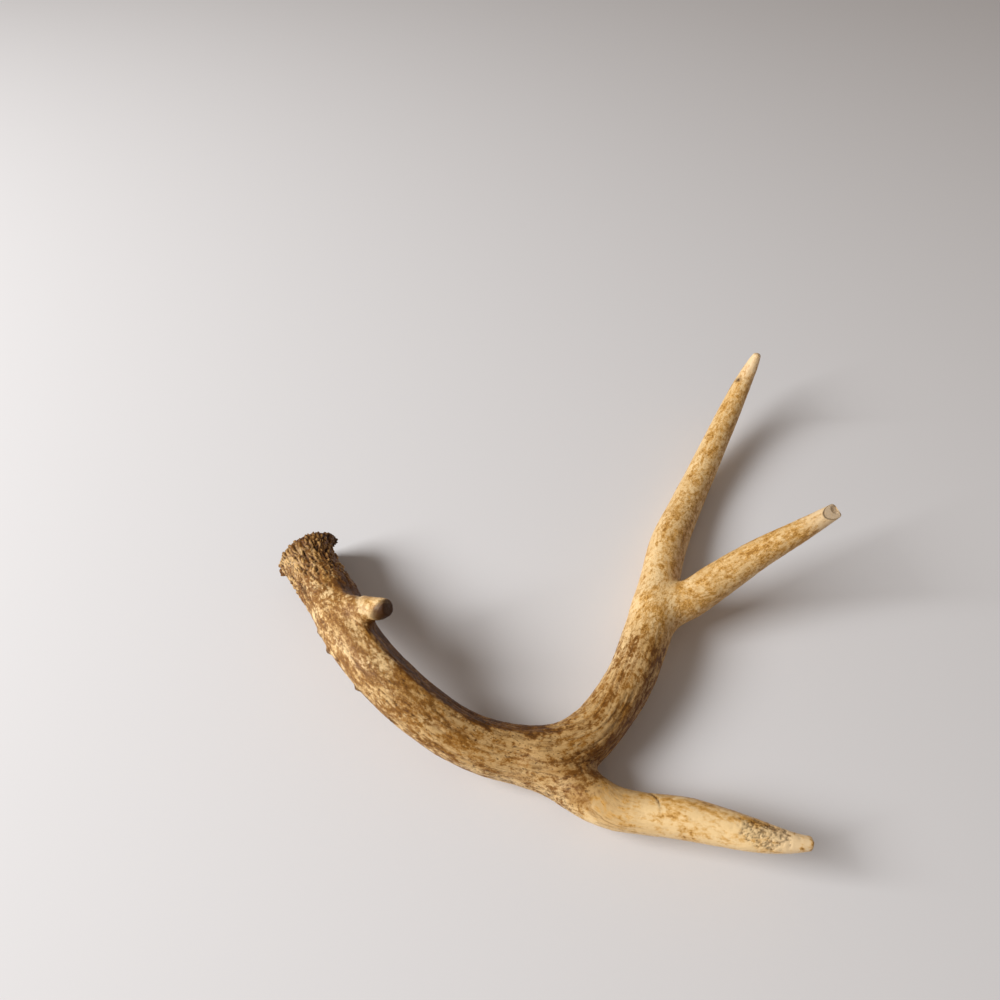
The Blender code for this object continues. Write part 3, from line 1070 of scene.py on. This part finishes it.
# Cream over the pale note: clean bone, and a painted highlight on the lit sides.
colour = lay(product(note("pale_and_lit"), 0.9), colour, CREAM)
colour = lay(product(note("tan"), 0.85), colour, TAN)
colour = lay(product(rise(amber_stain, 0.48, 0.62), 0.9), colour, stain_colour)
colour = lay(product(rise(amber_stain, 0.58, 0.70), 0.7), colour, line_colour)
colour = lay(product(note("wormy"), rise(amber_stain, 0.50, 0.60), winding, 0.8), colour, line_colour)
colour = lay(product(note("streaky"), rise(stripe, 0.48, 0.66), 0.4), colour, AMBER)
colour = lay(product(note("streaky"), rise(stripe, 0.54, 0.66), broken_up, 0.5), colour, RUSSET)
colour = lay(product(note("streaky"), rise(thread, 0.52, 0.68), 0.45), colour, RUSSET)
# Amber, russet and umber from the brown note: stain, and painted shade on the shaded sides.
colour = lay(product(note("brown_and_shade"), 0.5), colour, AMBER)
colour = lay(product(rise(stain_and_shade, 0.56, 0.72), 0.9), colour, RUSSET)
colour = lay(product(note("brown_and_shade"), rise(stain_and_shade, 0.68, 0.84), 0.85), colour, UMBER)
colour = lay(product(note("furrow"), broken_up, 0.85), colour, UMBER)
colour = lay(product(note("pores"), rise(vessel, 0.58, 0.70), 0.7), colour, UMBER)
colour = lay(product(note("wormy"), rise(speck, 0.56, 0.72), 0.55), colour, line_colour)
colour = lay(product(note("pearl"), rise(stain, 0.38, 0.54), 0.8), colour, RUSSET)
# Umber round the burr: dirt, and painted shade on its hollow side.
colour = lay(product(note("rim_dirt_and_shade"), 0.92), colour, UMBER)
pearl_top = product(note("tops"), note("pearl"), rise(stain, 0.60, 0.44), 0.7)
colour = lay(product(pearl_top, rise(note("rim_dirt_and_shade"), 0.7, 0.0, 0.12, 1.0)), colour, HONEY)
# Umber and near-black in the crevices and the burr's tooth gaps: painted shade.
colour = lay(product(shaded_crevices, rise(note("pearl"), 0.0, 0.6, 0.45, 1.0)), colour, UMBER)
colour = lay(product(rise(shaded_crevices, 0.5, 0.95), note("pearl"), note("brown_and_shade")), colour, SHADE_BLACK)
colour = lay(product(note("tip"), rise(stain, 0.62, 0.50), 0.85), colour, IVORY)
colour = lay(product(note("broken"), rise(speck, 0.75, 0.45)), colour, CORE)
colour = lay(note("damage"), colour, UMBER)
feed(shader.inputs["Base Color"], colour)
print(len(tree.nodes), "shader nodes so far")

# %% [markdown]
# Worn bone shines softly on the high, rubbed places and is dull in the pores, so roughness
# follows the same notes.  Bump adds what is finer than the mesh: fibres along the grain and
# tiny pores.

# %% Set gloss and fine bump
gloss = rise(speck, 0.3, 0.7, 0.42, 0.58)
gloss = blend_numbers(note("tip"), gloss, 0.30)
gloss = blend_numbers(note("pale_and_lit"), gloss, 0.36)
gloss = blend_numbers(product(shaded_crevices, 0.9), gloss, 0.85)
feed(shader.inputs["Roughness"], gloss)
shader.inputs["Specular IOR Level"].default_value = 0.3

fibre = limb_clouds(5.0, 0.45, detail=3.0, roughness=0.6)
pore = limb_clouds(0.7, 0.5, detail=2.0)
height = calc("ADD", calc("MULTIPLY", fibre, 0.6), calc("MULTIPLY", pore, 0.4))
height = calc("SUBTRACT", height, product(winding, note("wormy"), 0.35))
bump = tree.nodes.new("ShaderNodeBump")
bump.inputs["Strength"].default_value = 0.55
bump.inputs["Distance"].default_value = 0.35 * MM
feed(bump.inputs["Height"], height)
feed(shader.inputs["Normal"], bump.outputs["Normal"])

for piece in pieces.values():
    piece.data.materials.append(bone)
print(len(tree.nodes), "shader nodes in", bone.name)

# %% [markdown]
# ## Floor and light
# The antler lies on a plain pale floor.  One large soft window of light stands to the left
# and a little in front, low enough to draw long shadows to the right, and a faint even sky
# fills them.

# %% Lay the floor and hang the light
FLOOR_SIZE = 6.0
floor_mesh = bpy.data.meshes.new("floor")
half = FLOOR_SIZE / 2
floor_mesh.from_pydata(
    [(-half, -half, 0), (half, -half, 0), (half, half, 0), (-half, half, 0)], [],
    [(0, 1, 2, 3)])
floor = bpy.data.objects.new("floor", floor_mesh)
floor.location.z = -0.0002
bpy.context.scene.collection.objects.link(floor)
paper = bpy.data.materials.new("pale_paper")
paper.use_nodes = True
paper_shader = paper.node_tree.nodes["Principled BSDF"]
paper_shader.inputs["Base Color"].default_value = (0.76, 0.745, 0.745, 1)
paper_shader.inputs["Roughness"].default_value = 0.9
paper_shader.inputs["Specular IOR Level"].default_value = 0.2
floor_mesh.materials.append(paper)

WINDOW_PLACE = Vector((-1.76, -0.36, 1.25))
WINDOW_AIM = Vector((0.0, -0.04, 0.0))
window_light = bpy.data.lights.new("window", "AREA")
window_light.shape = "RECTANGLE"
window_light.size = 1.3
window_light.size_y = 1.0
window_light.energy = 60
window_light.color = (0.97, 0.985, 1.0)
window = bpy.data.objects.new("window", window_light)
window.location = WINDOW_PLACE
window.rotation_euler = (WINDOW_AIM - WINDOW_PLACE).to_track_quat("-Z", "Y").to_euler()
bpy.context.scene.collection.objects.link(window)

sky = bpy.data.worlds.new("even_sky")
sky.use_nodes = True
sky.node_tree.nodes["Background"].inputs["Color"].default_value = (1.0, 0.86, 0.76, 1)
sky.node_tree.nodes["Background"].inputs["Strength"].default_value = 0.23
bpy.context.scene.world = sky
bpy.context.scene.view_settings.view_transform = "Standard"
print("floor and light are in place")
